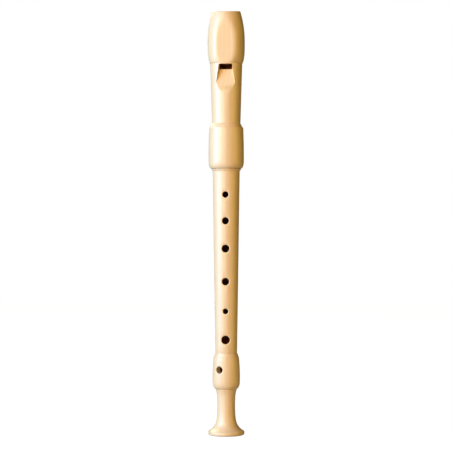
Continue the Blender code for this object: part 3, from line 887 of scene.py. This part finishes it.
def makeCorkFinish():
    # sheet cork sanded to fit: mottled tan with dark pores, matt
    finish, tree = newFinish("sandedCork")
    place = addNode(tree, "ShaderNodeTexCoord").outputs["Object"]
    cells = addNode(tree, "ShaderNodeTexVoronoi", {
        "Vector": place, "Scale": 1 / (cork["grain"] * mm),
    })
    mottle = addNode(tree, "ShaderNodeTexNoise", {
        "Vector": place, "Scale": 1 / (cork["mottle"] * mm), "Detail": 4.0,
    })
    colour = addNode(tree, "ShaderNodeMix", {
        0: mottle.outputs["Fac"], 6: fromHex(cork["dark"]), 7: fromHex(cork["light"]),
    }, data_type="RGBA")
    pores = addNode(tree, "ShaderNodeMapRange", {
        "Value": cells.outputs["Distance"],
        "From Min": cork["poreEdge"][0],
        "From Max": cork["poreEdge"][1],
        "To Min": cork["poreShare"],
        "To Max": 0.0,
    })
    pored = addNode(tree, "ShaderNodeMix", {
        0: pores.outputs[0], 6: colour.outputs[2], 7: fromHex(cork["pore"]),
    }, data_type="RGBA")
    bump = addNode(tree, "ShaderNodeBump", {
        "Height": cells.outputs["Distance"],
        "Strength": cork["relief"],
        "Distance": cork["reliefDepth"] * mm,
    })
    shader = addNode(tree, "ShaderNodeBsdfPrincipled", {
        "Base Color": pored.outputs[2], "Roughness": cork["roughness"], "Normal": bump.outputs[0],
    })
    addNode(tree, "ShaderNodeOutputMaterial", {"Surface": shader.outputs[0]})
    return finish


def finishPlain(piece, finish):
    piece.data.materials.clear()
    piece.data.materials.append(finish)


def finishWood(piece, outer, inner, isInside):
    finishPlain(piece, outer)
    piece.data.materials.append(inner)
    for face in piece.data.polygons:
        radius = math.hypot(face.center.x, face.center.y) / mm
        face.material_index = 1 if isInside(radius, face.center, face.normal) else 0


def inBore(reach):
    def test(radius, centre, normal):
        outward = normal.x * centre.x + normal.y * centre.y
        return radius < reach and outward < -boreWood["inward"] * math.hypot(centre.x, centre.y)
    return test


def inBoreOrShadedHole(radius, centre, normal):
    # painted shade: the finger holes' walls take the bore's dark finish up to their rounded mouths,
    # standing for the shade inside the holes
    height = centre.z / mm
    part = (height - middleLow) / (middleHigh - middleLow)
    body = middleFoot + (middleTop - middleFoot) * part
    inBody = middleLow + middle["ringHeight"] < height < middleHigh - 2 * middle["ringHeight"]
    shadedHole = inBody and radius < body - toneHole["paleShare"] * toneHole["mouthRound"]
    return inBore(joints["headBore"])(radius, centre, normal) or shadedHole


# Making the recorder

mapleFinish = makeMaple()
boreFinish = makeBoreFinish()

footWood = turnOnLathe("footJointWood", footOutline(), turning["jointSteps"])
footHole = holeCutter(
    "littleFingerHole",
    joints["footTop"] - foot["holeDrop"],
    foot["holeWidth"],
    -foot["holeTurn"],
    joints["footBore"],
    footBarrel + foot["swell"] * foot["holeSwell"],
)
cutAway(footWood, footHole)
finishWood(footWood, mapleFinish, boreFinish, inBore(foot["boreReach"]))
smoothShade(footWood, turning["jointSmooth"])
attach(footWood, "foot")
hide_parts("foot_joint")
print("foot joint turned")

middleWood = turnOnLathe("middleJointWood", middleOutline(), turning["jointSteps"])
fingerHoles = [
    middleHole("fingerHole" + str(n), above, width, turnDegrees=0)
    for n, (above, width) in enumerate(middle["holes"], start=1)
]
fingerHoles.append(middleHole("thumbHole", *middle["thumbHole"], turnDegrees=180))
cutAway(middleWood, joinAll(fingerHoles))
finishWood(middleWood, mapleFinish, boreFinish, inBoreOrShadedHole)
smoothShade(middleWood, turning["jointSmooth"])
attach(middleWood, "middle")
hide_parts("middle_joint")
print("middle joint turned and drilled")

headWood = turnOnLathe("headJointWood", headOutline(), turning["headSteps"])
flattenBeak(headWood)
slantTip(headWood)
cutAway(headWood, *windwayCutters(), rampCutter(), scoopCutter("beakScoop"))
finishWood(headWood, mapleFinish, boreFinish, inBore(head["boreReach"]))
smoothShade(headWood, turning["jointSmooth"])
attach(headWood, "head")
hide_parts("head_joint")
print("head joint turned, windway and window cut")

blockWood = makeBlock()
finishPlain(blockWood, makeCedar())
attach(blockWood, "block")
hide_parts("block")

corkFinish = makeCorkFinish()
for name, node, body in (
    ("upperCorkBand", "upper_tenon_cork", "upper_cork"),
    ("lowerCorkBand", "lower_tenon_cork", "lower_cork"),
):
    band = makeCork(name, node)
    finishPlain(band, corkFinish)
    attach(band, body)
    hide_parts(node)
print("block and corks made")

# Studio

studio = {
    "cameraDistance": 1200,
    "cameraHeight": 163.2,
    "cameraAside": -0.2,
    "cameraTurn": -3.5,     # degrees round the recorder, from straight in front of the finger holes
    "fieldWidth": 353.8,    # width of the view at the recorder
    "sensorWidth": 36,
    "lampAim": 165,         # height that every lamp points at, halfway up the recorder
    "floorSize": 4000,
    "floorDrop": 0.1,       # the bell's end face stays clear of the floor
    "floorColour": "#a8a08e",
    "floorGlow": 0.82,      # lifts the floor to white for the camera only, so its shadow stays
    "floorWhite": 1.205,
    "airColour": "#fff0d0",
    "airLevel": 0.02,
}

# turn in degrees to the camera's left, height, distance, (width, length) of the lamp, watts
# and colour
lamps = {
    "broadLamp": (30, 850, 2200, (1200, 1600), 37.0, "#ffd8a0"),
    "keyLamp": (50, 850, 2200, (440, 1600), 28.0, "#dcdcff"),
    "sideLamp": (72, 380, 1100, (400, 900), 16.0, "#6abeff"),
    "fillLamp": (-60, 450, 2200, (1400, 900), 11.5, "#ffde58"),
    "backLamp": (150, 1150, 1300, (700, 700), 12.0, "#ffe6c4"),
}


def addLamp(name, turn, height, distance, size, power, colour):
    a = math.radians(turn + studio["cameraTurn"])
    light = bpy.data.lights.new(name, "AREA")
    light.shape = "RECTANGLE"
    light.size = size[0] * mm
    light.size_y = size[1] * mm
    light.energy = power
    light.color = fromHex(colour)[:3]
    lamp = bpy.data.objects.new(name, light)
    bpy.context.scene.collection.objects.link(lamp)
    lamp.location = (-math.sin(a) * distance * mm, -math.cos(a) * distance * mm, height * mm)
    aim = -lamp.location
    aim.z += studio["lampAim"] * mm
    lamp.rotation_euler = aim.to_track_quat("-Z", "Y").to_euler()


def makeFloor():
    deselectAll()
    bpy.ops.mesh.primitive_plane_add(
        size=studio["floorSize"] * mm, location=(0, 0, -studio["floorDrop"] * mm)
    )
    floor = bpy.context.object
    floor.name = "studioFloor"
    finish, tree = newFinish("paintedFloor")
    plain = addNode(tree, "ShaderNodeBsdfDiffuse", {"Color": fromHex(studio["floorColour"])})
    glow = addNode(tree, "ShaderNodeEmission", {"Strength": studio["floorWhite"]})
    path = addNode(tree, "ShaderNodeLightPath")
    seen = addNode(tree, "ShaderNodeMath", {
        0: path.outputs["Is Camera Ray"], 1: studio["floorGlow"],
    }, operation="MULTIPLY")
    mixed = addNode(tree, "ShaderNodeMixShader", {
        0: seen.outputs[0], 1: plain.outputs[0], 2: glow.outputs[0],
    })
    addNode(tree, "ShaderNodeOutputMaterial", {"Surface": mixed.outputs[0]})
    floor.data.materials.append(finish)


def makeWorld():
    # white where the camera looks, and a faint warm light on the recorder
    world = bpy.data.worlds.new("studioAir")
    bpy.context.scene.world = world
    world.use_nodes = True
    tree = world.node_tree
    tree.nodes.clear()
    path = addNode(tree, "ShaderNodeLightPath")
    either = addNode(tree, "ShaderNodeMath", {
        0: path.outputs["Is Camera Ray"], 1: path.outputs["Is Transmission Ray"],
    }, operation="MAXIMUM")
    air = addNode(tree, "ShaderNodeBackground", {
        "Color": fromHex(studio["airColour"]), "Strength": studio["airLevel"],
    })
    white = addNode(tree, "ShaderNodeBackground", {"Color": (1, 1, 1, 1), "Strength": 1.0})
    mixed = addNode(tree, "ShaderNodeMixShader", {
        0: either.outputs[0], 1: air.outputs[0], 2: white.outputs[0],
    })
    addNode(tree, "ShaderNodeOutputWorld", {"Surface": mixed.outputs[0]})


def makeCamera():
    turn = math.radians(studio["cameraTurn"])
    data = bpy.data.cameras.new("studioCamera")
    data.sensor_width = studio["sensorWidth"]
    data.lens = studio["sensorWidth"] * studio["cameraDistance"] / studio["fieldWidth"]
    camera = bpy.data.objects.new("studioCamera", data)
    bpy.context.scene.collection.objects.link(camera)
    away, aside = studio["cameraDistance"], studio["cameraAside"]
    camera.location = (
        (-math.sin(turn) * away + math.cos(turn) * aside) * mm,
        (-math.cos(turn) * away - math.sin(turn) * aside) * mm,
        studio["cameraHeight"] * mm,
    )
    camera.rotation_euler = (math.pi / 2, 0, -turn)
    bpy.context.scene.camera = camera


makeFloor()
makeWorld()
makeCamera()
for lampName, settings in lamps.items():
    addLamp(lampName, *settings)
bpy.context.scene.view_settings.view_transform = "Standard"
print("studio set")
